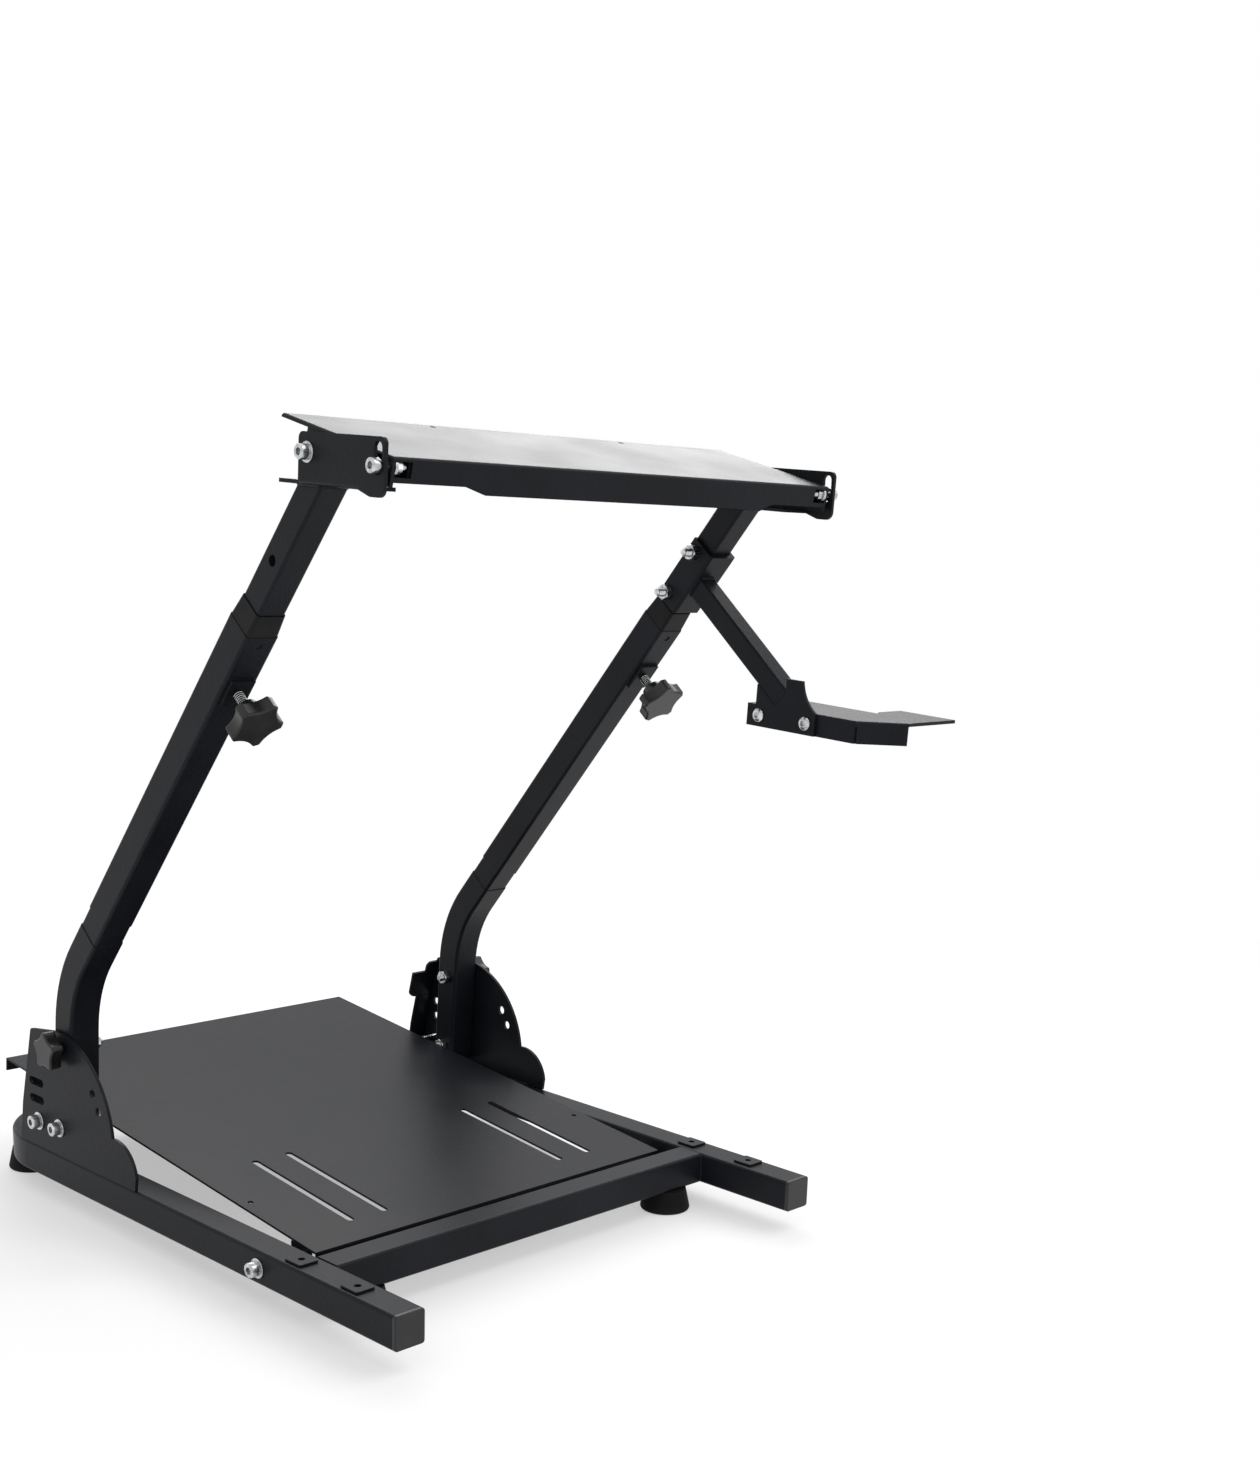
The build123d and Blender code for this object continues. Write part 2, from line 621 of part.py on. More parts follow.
# Gusset that the arm's end is let into, with a wide foot and hollowed out in front
arm_end_y, arm_end_z = on_tube(arm_at, arm_reach)
holder = Pos(tube_x, arm_end_y + gusset_behind, arm_end_z - shifter_below) * Rot(shifter_tilt, 0, 0)
channel_half = arm_size / 2
gusset_line = Polyline((-gusset_length, shifter_flange), (-gusset_length, 0), (0, 0), (0, shifter_flange),
                       (-gusset_shoulder, shifter_flange), (-gusset_shoulder, gusset_neck),
                       (-gusset_top_back, gusset_high), (-gusset_top_front, gusset_high))
gusset_line += ThreePointArc((-gusset_top_front, gusset_high), (-gusset_hollow, gusset_hollow_up),
                             (-gusset_length, shifter_flange))
gusset = side_sheet(make_face(gusset_line), -channel_half - gusset_thick, -channel_half)
arm_front = on_tube(arm_at + arm_size / 2, arm_reach)
arm_back = on_tube(arm_at - arm_size / 2, arm_reach)
arm_above = on_tube(arm_at - arm_size / 2, arm_reach - gusset_high)
seat_line = Polyline(arm_front, arm_back, arm_above, (arm_front[0], arm_front[1] + gusset_high), close=True)
arm_seat = side_sheet(make_face(seat_line), tube_x - arm_size, tube_x)
parts["gusset_inner"] = holder * gusset - arm_seat

# Shifter plate: a shelf flanged along the gusset that widens to a platform on the outer side
left = -channel_half
right = left + shelf_wide
slant_end = (left + slant_width, -shifter_length - slant_ahead)
platform_rear = platform_depth - shifter_length - slant_ahead
plan_line = Polyline((left, 0), (left, -shifter_length), slant_end, (left + shifter_wide, slant_end[1]),
                     (left + shifter_wide, platform_rear), (right + platform_blend, platform_rear),
                     (right, platform_rear - platform_blend), (right, 0), close=True)
under_top = shifter_flange - shifter_thick
shifter = extrude(Plane.XY.offset(under_top) * make_face(plan_line), shifter_thick)
shifter += slab(left, left + shifter_thick, -shifter_length, 0, 0, under_top + 1)
slant_in = Vector(slant_ahead, slant_width).normalized() * shifter_thick
slant_start = (left, -shifter_length)
slant_line = Polyline(slant_start, slant_end, (slant_end[0] + slant_in.X, slant_end[1] + slant_in.Y),
                      (slant_start[0] + slant_in.X, slant_start[1] + slant_in.Y), close=True)
shifter += extrude(make_face(slant_line), under_top + 1)
top_edges = shifter.faces().sort_by(Axis.Z)[-1].edges()
slant_middle = (left + slant_width / 2, slant_end[1] + slant_ahead / 2, shifter_flange)
bent_edges = [top_edges.sort_by_distance((left, -shifter_length / 2, shifter_flange))[0]]
bent_edges += [top_edges.sort_by_distance(slant_middle)[0]]
shifter = fillet(bent_edges, shifter_edge)
notch = Box(4 * shifter_thick, notch_width, 2 * notch_depth)
shifter -= Pos(left, -shifter_length, 0) * notch
parts["shifter_plate"] = holder * shifter

# Every piece is moved so that the frame's origin lies under the middle of the whole stand
boxes = [shape.bounding_box() for shape in parts.values()]
middle_x = (min(box.min.X for box in boxes) + max(box.max.X for box in boxes)) / 2
middle_y = (min(box.min.Y for box in boxes) + max(box.max.Y for box in boxes)) / 2
shift = Pos(-middle_x, -middle_y, 0)
os.makedirs("parts", exist_ok=True)
for name, shape in parts.items():
    export_step(shift * shape, "parts/" + name + ".step")
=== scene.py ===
import json
from math import cos, radians, sin
import bmesh
import bpy
from mathutils import Matrix, Vector


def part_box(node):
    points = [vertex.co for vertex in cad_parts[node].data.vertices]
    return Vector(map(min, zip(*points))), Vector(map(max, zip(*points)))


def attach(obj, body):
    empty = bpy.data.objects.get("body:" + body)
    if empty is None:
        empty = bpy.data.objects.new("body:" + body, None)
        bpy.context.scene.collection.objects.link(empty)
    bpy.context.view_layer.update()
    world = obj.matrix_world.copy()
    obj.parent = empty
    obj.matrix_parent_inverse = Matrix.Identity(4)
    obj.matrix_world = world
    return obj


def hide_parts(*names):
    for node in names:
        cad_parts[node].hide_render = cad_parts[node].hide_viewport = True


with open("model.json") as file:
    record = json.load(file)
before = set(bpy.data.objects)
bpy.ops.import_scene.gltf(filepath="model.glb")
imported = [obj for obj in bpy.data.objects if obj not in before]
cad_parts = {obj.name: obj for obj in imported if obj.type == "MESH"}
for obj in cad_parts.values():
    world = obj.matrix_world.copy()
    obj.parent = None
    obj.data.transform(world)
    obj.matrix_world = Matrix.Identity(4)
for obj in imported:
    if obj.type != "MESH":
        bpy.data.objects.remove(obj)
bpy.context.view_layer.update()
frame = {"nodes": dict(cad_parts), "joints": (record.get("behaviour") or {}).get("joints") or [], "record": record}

mm = 0.001
joints = {joint["name"]: joint for joint in frame["joints"]}
sides = ((-1, "Left", "_left"), (1, "Right", "_right"))  # sign of x, word in a piece's name, end of a node's name


def hexColour(code):  # sRGB hex to linear rgba
    channels = [int(code[i:i + 2], 16) / 255 for i in (1, 3, 5)]
    linear = [c / 12.92 if c <= 0.04045 else ((c + 0.055) / 1.055) ** 2.4 for c in channels]
    return (*linear, 1.0)


def addNode(material, kind, settings=None, inputs=None):  # one node, its settings, and its values or links
    node = material.node_tree.nodes.new(kind)
    for name, value in (settings or {}).items():
        setattr(node, name, value)
    for name, value in (inputs or {}).items():
        if isinstance(value, bpy.types.NodeSocket):
            material.node_tree.links.new(value, node.inputs[name])
        else:
            node.inputs[name].default_value = value
    return node


def freshMaterial(name):
    material = bpy.data.materials.new(name)
    material.use_nodes = True
    material.node_tree.nodes.clear()
    return material


def perMetre(size):  # texture scale for a pattern of that many millimetres
    return 1 / (size * mm)


noiseSpan = {"From Min": 0.3, "From Max": 0.7}  # where most values of a noise texture lie

# Powder coated steel: fine sand texture baked onto sheet and tube, satin black, pale where light grazes it
# Patterns and edge radius in millimetres, bumps as strength and depth in millimetres
coatSpec = {"tint": ((0.3, "#121317"), (0.75, "#1b1d22")), "grain": 1.9, "peel": 7.0, "cloud": 70.0, "mottle": 0.25,
            "rough": (0.34, 0.39), "ior": 1.2, "edge": 0.7, "wave": (0.25, 0.3), "grit": (0.3, 0.25)}


def powderCoat(spec):
    material = freshMaterial("satinBlackPowderCoat")
    place = addNode(material, "ShaderNodeTexCoord").outputs["Object"]
    cloud = addNode(material, "ShaderNodeTexNoise",
                    inputs={"Vector": place, "Scale": perMetre(spec["cloud"]), "Detail": 3.0})
    grain = addNode(material, "ShaderNodeTexVoronoi", {"feature": "SMOOTH_F1"},  # real grit is 0.3 mm, coarser to show
                    {"Vector": place, "Scale": perMetre(spec["grain"]), "Smoothness": 0.6})
    peel = addNode(material, "ShaderNodeTexNoise",
                   inputs={"Vector": place, "Scale": perMetre(spec["peel"]), "Detail": 2.0})
    blend = addNode(material, "ShaderNodeMix", {"data_type": "FLOAT"},
                    {0: spec["mottle"], 2: cloud.outputs["Fac"], 3: grain.outputs["Distance"]})
    tint = addNode(material, "ShaderNodeValToRGB", inputs={"Fac": blend.outputs[0]})
    for stop, (position, colour) in zip(tint.color_ramp.elements, spec["tint"]):
        stop.position, stop.color = position, hexColour(colour)
    rough = addNode(material, "ShaderNodeMapRange", inputs={"Value": cloud.outputs["Fac"], **noiseSpan,
                                                            "To Min": spec["rough"][0], "To Max": spec["rough"][1]})
    soft = addNode(material, "ShaderNodeBevel", {"samples": 4}, {"Radius": spec["edge"] * mm})  # rounds sheet edges
    wave = addNode(material, "ShaderNodeBump", inputs={"Strength": spec["wave"][0], "Distance": spec["wave"][1] * mm,
                                                       "Height": peel.outputs["Fac"], "Normal": soft.outputs[0]})
    grit = addNode(material, "ShaderNodeBump", inputs={"Strength": spec["grit"][0], "Distance": spec["grit"][1] * mm,
                                                       "Height": grain.outputs["Distance"], "Normal": wave.outputs[0]})
    shader = addNode(material, "ShaderNodeBsdfPrincipled",
                     inputs={"Base Color": tint.outputs["Color"], "Roughness": rough.outputs[0], "IOR": spec["ior"],
                             "Normal": grit.outputs[0]})
    addNode(material, "ShaderNodeOutputMaterial", inputs={"Surface": shader.outputs[0]})
    return material


# Glass-filled nylon: injection moulded against a spark-eroded tool, dull black with soft highlights on its lobes
nylonSpec = {"name": "mouldedBlackNylon", "tint": ((0.35, "#121213"), (0.7, "#1c1c1e")), "spark": 1.6, "cloud": 22.0,
             "rough": (0.27, 0.38), "ior": 1.44, "edge": 0.6, "bump": (0.25, 0.2)}
sleeveSpec = {**nylonSpec, "name": "mattSleeveNylon", "rough": (0.40, 0.48), "ior": 1.2}  # the slide guides are duller


def mouldedNylon(spec):
    material = freshMaterial(spec["name"])
    place = addNode(material, "ShaderNodeTexCoord").outputs["Object"]
    cloud = addNode(material, "ShaderNodeTexNoise",
                    inputs={"Vector": place, "Scale": perMetre(spec["cloud"]), "Detail": 4.0})
    spark = addNode(material, "ShaderNodeTexNoise",
                    inputs={"Vector": place, "Scale": perMetre(spec["spark"]), "Detail": 2.0})
    tint = addNode(material, "ShaderNodeValToRGB", inputs={"Fac": cloud.outputs["Fac"]})
    for stop, (position, colour) in zip(tint.color_ramp.elements, spec["tint"]):
        stop.position, stop.color = position, hexColour(colour)
    rough = addNode(material, "ShaderNodeMapRange", inputs={"Value": cloud.outputs["Fac"], **noiseSpan,
                                                            "To Min": spec["rough"][0], "To Max": spec["rough"][1]})
    soft = addNode(material, "ShaderNodeBevel", {"samples": 4}, {"Radius": spec["edge"] * mm})
    bump = addNode(material, "ShaderNodeBump", inputs={"Strength": spec["bump"][0], "Distance": spec["bump"][1] * mm,
                                                       "Height": spark.outputs["Fac"], "Normal": soft.outputs[0]})
    shader = addNode(material, "ShaderNodeBsdfPrincipled",
                     inputs={"Base Color": tint.outputs["Color"], "Roughness": rough.outputs[0], "IOR": spec["ior"],
                             "Normal": bump.outputs[0]})
    addNode(material, "ShaderNodeOutputMaterial", inputs={"Surface": shader.outputs[0]})
    return material


# Moulded rubber: matt black, faintly greyed by dust towards the floor
rubberSpec = {"black": "#0d0d0d", "dust": "#252422", "dustHigh": 9.0, "dustMost": 0.8, "pore": 2.4, "rough": 0.75,
              "ior": 1.24, "bump": (0.3, 0.25)}


def footRubber(spec):
    material = freshMaterial("mattFootRubber")
    place = addNode(material, "ShaderNodeTexCoord").outputs["Object"]
    pore = addNode(material, "ShaderNodeTexNoise",
                   inputs={"Vector": place, "Scale": perMetre(spec["pore"]), "Detail": 3.0})
    height = addNode(material, "ShaderNodeSeparateXYZ", inputs={"Vector": place}).outputs["Z"]
    dusty = addNode(material, "ShaderNodeMapRange",
                    inputs={"Value": height, "From Min": 0.0, "From Max": spec["dustHigh"] * mm,
                            "To Min": spec["dustMost"], "To Max": 0.0})
    patchy = addNode(material, "ShaderNodeMath", {"operation": "MULTIPLY"},
                     {0: dusty.outputs[0], 1: pore.outputs["Fac"]})
    tint = addNode(material, "ShaderNodeMix", {"data_type": "RGBA"},
                   {0: patchy.outputs[0], 6: hexColour(spec["black"]), 7: hexColour(spec["dust"])})
    bump = addNode(material, "ShaderNodeBump", inputs={"Strength": spec["bump"][0], "Distance": spec["bump"][1] * mm,
                                                       "Height": pore.outputs["Fac"]})
    shader = addNode(material, "ShaderNodeBsdfPrincipled",
                     inputs={"Base Color": tint.outputs[2], "Roughness": spec["rough"], "IOR": spec["ior"],
                             "Normal": bump.outputs[0]})
    addNode(material, "ShaderNodeOutputMaterial", inputs={"Surface": shader.outputs[0]})
    return material


# Zinc plated steel: bright bluish barrel plating on the bolts, slightly clouded and scuffed
zincSpec = {"tint": ((0.35, "#a9acae"), (0.65, "#d9dbdb")), "cloud": 3.5, "scuff": 0.9, "rough": (0.20, 0.36),
            "bump": (0.08, 0.1)}


def brightZinc(spec):
    material = freshMaterial("brightZincPlate")
    place = addNode(material, "ShaderNodeTexCoord").outputs["Object"]
    cloud = addNode(material, "ShaderNodeTexNoise",
                    inputs={"Vector": place, "Scale": perMetre(spec["cloud"]), "Detail": 4.0})
    scuff = addNode(material, "ShaderNodeTexNoise",
                    inputs={"Vector": place, "Scale": perMetre(spec["scuff"]), "Detail": 2.0})
    tint = addNode(material, "ShaderNodeValToRGB", inputs={"Fac": cloud.outputs["Fac"]})
    for stop, (position, colour) in zip(tint.color_ramp.elements, spec["tint"]):
        stop.position, stop.color = position, hexColour(colour)
    rough = addNode(material, "ShaderNodeMapRange", inputs={"Value": scuff.outputs["Fac"], **noiseSpan,
                                                            "To Min": spec["rough"][0], "To Max": spec["rough"][1]})
    bump = addNode(material, "ShaderNodeBump", inputs={"Strength": spec["bump"][0], "Distance": spec["bump"][1] * mm,
                                                       "Height": scuff.outputs["Fac"]})
    shader = addNode(material, "ShaderNodeBsdfPrincipled",
                     inputs={"Base Color": tint.outputs["Color"], "Roughness": rough.outputs[0], "Metallic": 1.0,
                             "Normal": bump.outputs[0]})
    addNode(material, "ShaderNodeOutputMaterial", inputs={"Surface": shader.outputs[0]})
    return material


finishes = {"coated": powderCoat(coatSpec), "moulded": mouldedNylon(nylonSpec), "rubber": footRubber(rubberSpec),
            "zinc": brightZinc(zincSpec), "sleeve": mouldedNylon(sleeveSpec)}
nodeSlots = {part["node"]: part["material_slot"] for part in frame["record"]["subparts"]}
for name, node in frame["nodes"].items():
    node.data.materials.clear()
    node.data.materials.append(finishes["sleeve" if name.startswith("sleeve") else nodeSlots[name]])
print("stage: finishes on", len(frame["nodes"]), "CAD nodes")


def pickOnly(*pieces):  # these pieces selected and nothing else, the first one active
    bpy.ops.object.select_all(action="DESELECT")
    for piece in pieces:
        piece.select_set(True)
    if pieces:
        bpy.context.view_layer.objects.active = pieces[0]


def placeApplied():  # the new primitive's place and size go into its mesh
    bpy.ops.object.transform_apply(location=True, rotation=True, scale=True)
    return bpy.context.object


def pickFaces(piece, test):  # edit mode with the faces that pass the test selected
    bpy.ops.object.mode_set(mode="EDIT")
    bpy.ops.mesh.select_mode(type="FACE")
    bpy.ops.mesh.select_all(action="DESELECT")
    shape = bmesh.from_edit_mesh(piece.data)
    for face in shape.faces:
        if test(face):
            face.select_set(True)
    bmesh.update_edit_mesh(piece.data)


def extruded(move):  # edit mode: what is selected, extruded by a move in mm
    bpy.ops.mesh.extrude_region_move(TRANSFORM_OT_translate={"value": [step * mm for step in move]})


def cutWith(piece, tool, operation):
    pickOnly(piece)
    modifier = piece.modifiers.new("cut", "BOOLEAN")
    modifier.operation = operation
    modifier.object = tool
    modifier.solver = "EXACT"
    bpy.ops.object.modifier_apply(modifier=modifier.name)
    bpy.data.objects.remove(tool)


def turned(name, profile, around):  # closed round piece, extruded and resized through (height, radius) steps in mm
    pickOnly()
    height, radius = profile[0]
    bpy.ops.mesh.primitive_circle_add(vertices=around, radius=radius * mm, fill_type="NGON",
                                      location=(0, 0, height * mm))
    piece = placeApplied()
    piece.name = name
    bpy.ops.object.mode_set(mode="EDIT")
    bpy.ops.mesh.select_all(action="SELECT")
    for nextHeight, nextRadius in profile[1:]:
        extruded((0, 0, nextHeight - height))
        factor = nextRadius / radius
        bpy.ops.transform.resize(value=(factor, factor, 1), center_override=(0, 0, nextHeight * mm))
        height, radius = nextHeight, nextRadius
    bpy.ops.mesh.select_all(action="SELECT")
    bpy.ops.mesh.normals_make_consistent(inside=False)
    bpy.ops.object.mode_set(mode="OBJECT")
    return piece


def smoothed(piece, finish, angle=35):
    pickOnly(piece)
    bpy.ops.object.shade_smooth_by_angle(angle=radians(angle))
    piece.data.materials.clear()
    piece.data.materials.append(finishes[finish])
    return piece


def thickened(piece, sheet, offset, edge):  # open sheet given its thickness and rounded edges, in mm
    pickOnly(piece)
    for kind, settings in (("SOLIDIFY", {"thickness": sheet * mm, "offset": offset}),
                           ("BEVEL", {"width": edge * mm, "segments": 2, "limit_method": "ANGLE"})):
        modifier = piece.modifiers.new(kind.lower(), kind)
        for name, value in settings.items():
            setattr(modifier, name, value)
        bpy.ops.object.modifier_apply(modifier=modifier.name)


def copyAt(template, matrix):  # copy with its own mesh, placed in the mesh
    piece = template.copy()
    piece.data = template.data.copy()
    bpy.context.collection.objects.link(piece)
    piece.data.transform(matrix)
    if matrix.determinant() < 0:  # a mirrored copy is turned right side out
        piece.data.flip_normals()
    return piece


def joined(name, pieces, body, replaced=()):  # one named piece that rides on its body
    pickOnly(*pieces)
    if len(pieces) > 1:
        bpy.ops.object.join()
    whole = bpy.context.view_layer.objects.active
    whole.name = name
    whole.data.name = name
    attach(whole, body)
    if replaced:
        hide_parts(*replaced)
    return whole


def facing(point, outward, spin=0.0):  # matrix that seats a piece's foot at a point, its top turned outward
    turn = Vector((0, 0, 1)).rotation_difference(Vector(outward)).to_matrix().to_4x4()
    return Matrix.Translation(point) @ turn @ Matrix.Rotation(radians(spin), 4, "Z")


def centre(node):
    low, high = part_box(node)
    return (low + high) / 2


def faceX(node, side):  # x of a node's outermost point on one side
    low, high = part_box(node)
    return low.x if side < 0 else high.x


# Bolts, in millimetres: M8 cap screws with plain washers, button heads and hexagon nuts
boltSpec = {"shank": 3.95, "headRadius": 6.5, "headHeight": 8.0, "headFoot": 0.3, "headRim": 0.9, "socket": 3.5,
            "socketDeep": 4.5, "buttonRadius": 7.0, "buttonHeight": 4.4, "buttonWall": 0.5, "buttonFlat": 0.9,
            "buttonSocket": 2.975, "buttonDeep": 2.6, "seatEdge": 0.2, "washer": 8.7, "washerThick": 1.6,
            "washerEdge": 0.25, "nutCorner": 7.5, "nutHeight": 6.5, "nutRim": 1.1, "nutChamfer": 0.9, "nutBore": 4.5,
            "boreDip": 0.5, "boreTaper": 0.86, "pitch": 1.5, "threadProud": 0.05, "threadDeep": 0.6,
            "threadLong": 12.0, "threadPoint": 0.8, "headAround": 40, "nutAround": 48, "shankAround": 24}


def socketCut(piece, top, radius, deep):
    bpy.ops.mesh.primitive_cylinder_add(vertices=6, radius=radius * mm, depth=2 * deep * mm, location=(0, 0, top * mm))
    cutWith(piece, bpy.context.object, "DIFFERENCE")


def capHead(spec):
    r, h, foot, rim = spec["headRadius"], spec["headHeight"], spec["headFoot"], spec["headRim"]
    steps = [(0, r - foot), (foot, r), (h - rim, r), (h - 0.4, r - 0.2), (h, r - rim)]  # the rim is rounded
    piece = turned("capHead", steps, spec["headAround"])
    socketCut(piece, h, spec["socket"], spec["socketDeep"])
    return smoothed(piece, "zinc")


def buttonHead(spec):
    r, h, wall, flat = spec["buttonRadius"], spec["buttonHeight"], spec["buttonWall"], spec["buttonFlat"]
    steps = [(0, r - spec["seatEdge"])]
    for angle in (0, 15, 30, 45, 58, 70):  # the dome, up to the flat round the socket
        across, up = cos(radians(angle)), sin(radians(angle))
        steps.append((wall + (h - wall) * up, r * across + flat * (1 - across)))
    piece = turned("buttonHead", steps, spec["headAround"])
    socketCut(piece, h, spec["buttonSocket"], spec["buttonDeep"])
    return smoothed(piece, "zinc")


def plainWasher(spec):
    r, thick, edge = spec["washer"], spec["washerThick"], spec["washerEdge"]
    steps = [(0, r - spec["seatEdge"]), (edge, r), (thick - edge, r), (thick, r - edge)]
    return smoothed(turned("plainWasher", steps, spec["headAround"]), "zinc")


def hexNut(spec):
    r, h, rim, chamfer, dip = (spec[n] for n in ("nutCorner", "nutHeight", "nutRim", "nutChamfer", "boreDip"))
    pickOnly()
    bpy.ops.mesh.primitive_cylinder_add(vertices=6, radius=r * mm, depth=h * mm, location=(0, 0, h / 2 * mm))
    piece = placeApplied()
    piece.name = "hexNut"
    clear = 0.01  # the cutting shape ends just past the nut
    steps = [(-clear, r - rim), (chamfer, r + 0.1), (h - chamfer, r + 0.1), (h + clear, r - rim)]
    cutWith(piece, turned("chamfer", steps, spec["nutAround"]), "INTERSECT")
    pickFaces(piece, lambda face: face.normal.z > 0.99 and face.calc_center_median().z > (h - 0.05) * mm)
    bpy.ops.mesh.inset(thickness=(r - rim - spec["nutBore"]) * mm)
    extruded((0, 0, -dip))
    bpy.ops.transform.resize(value=(spec["boreTaper"], spec["boreTaper"], 1), center_override=(0, 0, (h - dip) * mm))
    bpy.ops.object.mode_set(mode="OBJECT")
    return smoothed(piece, "zinc", 25)


def threadEnd(spec):  # stud end whose threads are drawn a little coarser than M8, so that they show
    outer, inner = spec["shank"] + spec["threadProud"], spec["shank"] - spec["threadDeep"]
    pitch, long, point = spec["pitch"], spec["threadLong"], spec["threadPoint"]
    steps, height = [(0, inner)], 0.0
    while height + pitch < long - point:
        steps += [(height + pitch / 2, outer), (height + pitch, inner)]
        height += pitch
    steps += [(long - point / 2, inner), (long, inner - spec["threadDeep"])]
    return smoothed(turned("threadEnd", steps, spec["shankAround"]), "zinc", 20)


def plainShank(spec):  # one millimetre of shank, stretched to length where it is used
    return smoothed(turned("plainShank", [(h, spec["shank"]) for h in (0, 0.5, 1)], spec["shankAround"]), "zinc")


kit = {"cap": capHead(boltSpec), "button": buttonHead(boltSpec), "washer": plainWasher(boltSpec),
       "nut": hexNut(boltSpec), "thread": threadEnd(boltSpec), "shank": plainShank(boltSpec)}
print("stage: bolt kit modelled")


# grip: from the head's seat to the nut's, past: stud beyond the nut, washers: under the head and under the nut
def boltSet(name, seat, outward, grip, body, past, spin, head="cap", washers=(1, 0), size=1.0, headSize=None,
            replaced=()):
    outward = Vector(outward)
    headSize = headSize or size
    scale, headScale = Matrix.Scale(size, 4), Matrix.Scale(headSize, 4)
    thick, headThick = boltSpec["washerThick"] * size * mm, boltSpec["washerThick"] * headSize * mm
    nutSeat = seat - outward * grip * mm
    pieces = [copyAt(kit[head], facing(seat + outward * headThick * washers[0], outward, spin) @ headScale)]
    for i in range(washers[0]):
        pieces.append(copyAt(kit["washer"], facing(seat + outward * headThick * i, outward) @ headScale))
    for i in range(washers[1]):
        pieces.append(copyAt(kit["washer"], facing(nutSeat - outward * thick * i, -outward) @ scale))
    nutSeat = nutSeat - outward * thick * washers[1]
    pieces.append(copyAt(kit["nut"], facing(nutSeat, -outward, spin) @ scale))
    tip = nutSeat - outward * (boltSpec["nutHeight"] * size + past) * mm
    threadFoot = tip + outward * boltSpec["threadLong"] * size * mm
    pieces.append(copyAt(kit["thread"], facing(threadFoot, -outward) @ scale))
    plain = max((seat - threadFoot).dot(outward) / mm, 1.0)
    pieces.append(copyAt(kit["shank"], facing(seat, -outward) @ Matrix.Diagonal((size, size, plain, 1))))
    return joined(name, pieces, body, replaced)


# Lines of the stand, in millimetres from the tilt bolts: the uprights' direction and the places that hang on it
standSpec = {"downTube": 161.1, "aheadOfTilt": 9.75}
along = Vector(joints["height"]["axis"]).normalized()
ahead = Vector((0, -along.z, along.y))
tiltPoint = Vector(joints["wheel_tilt"]["pos_m"])
foldPoint = Vector(joints["fold"]["pos_m"])
tubeStart = tiltPoint - along * standSpec["downTube"] * mm + ahead * standSpec["aheadOfTilt"] * mm


def onTube(x, s, n):  # point at s mm along and n mm ahead of the leaning tubes' middle line
    point = tubeStart + along * s * mm + ahead * n * mm
    return Vector((x, point.y, point.z))


# Fold bolts, pedal plate bolts and tilt bolts, each with its head outside and its nut inside
foldBolt = {"past": 1.4}
pedalSetBolt = {"past": 3.0, "spin": 42}
pedalHingeBolt = {"past": 3.0, "spin": 8}
tiltBolt = {"past": 2.5, "spin": 33, "size": 0.88}
tiltLockBolt = {"past": 5.0, "spin": 16, "size": 0.78, "headSize": 0.86, "washers": (0, 2)}
pivotSpec = {"foldSpin": {-1: 15, 1: 25}, "pedalBehind": 38.0, "pedalBelow": 2.0,
             "pedalEar": 2.0, "wheelEar": 3.0,  # thickness of the plates' ears
             "lockRadius": 82.0, "lockAngle": 186.6, "lockClear": 0.05}
for side, word, end in sides:
    out = Vector((side, 0, 0))
    plateX = faceX("side_plate" + end, side)
    pin = centre("fold_pin" + end)
    foldGrip = abs(plateX - faceX("lower_tube" + end, -side)) / mm
    boltSet("foldBolt" + word, Vector((plateX, pin.y, pin.z)), out, foldGrip, "base",
            spin=pivotSpec["foldSpin"][side], replaced=["fold_pin" + end], **foldBolt)
    pedalGrip = abs(plateX - (faceX("pedal_plate", side) - side * pivotSpec["pedalEar"] * mm)) / mm
    rear = Vector((plateX, pin.y + pivotSpec["pedalBehind"] * mm, pin.z - pivotSpec["pedalBelow"] * mm))
    boltSet("pedalSetBolt" + word, rear, out, pedalGrip, "base", **pedalSetBolt)
    pedalPin = centre("pedal_pin" + end)
    boltSet("pedalHingeBolt" + word, Vector((plateX, pedalPin.y, pedalPin.z)), out, pedalGrip, "base",
            replaced=["pedal_pin" + end], **pedalHingeBolt)
    cheekX = faceX("bracket" + end, side)
    tiltGrip = abs(cheekX - (faceX("wheel_plate", side) - side * pivotSpec["wheelEar"] * mm)) / mm
    boltSet("tiltBolt" + word, Vector((cheekX, tiltPoint.y, tiltPoint.z)), out, tiltGrip, "uppers",
            replaced=["tilt_pin" + end], **tiltBolt)
    angle, radius = radians(pivotSpec["lockAngle"]), pivotSpec["lockRadius"] * mm
    lockX = cheekX + side * pivotSpec["lockClear"] * mm  # the head slides along the cheek
    lockSeat = Vector((lockX, tiltPoint.y + radius * cos(angle), tiltPoint.z + radius * sin(angle)))
    boltSet("tiltLockBolt" + word, lockSeat, out, tiltGrip + pivotSpec["lockClear"], "wheel_tray", **tiltLockBolt)
print("stage: pivot bolts placed")

# Pockets behind the notched ends of the wheel plate's flange, closing the sheet behind the lock nuts
pocketSpec = {"wide": 18.0, "front": 84.3, "deep": 11.5, "top": 15.2, "bottom": 2.2, "sheet": 1.5, "round": 0.6,
              "drop": 13.6}


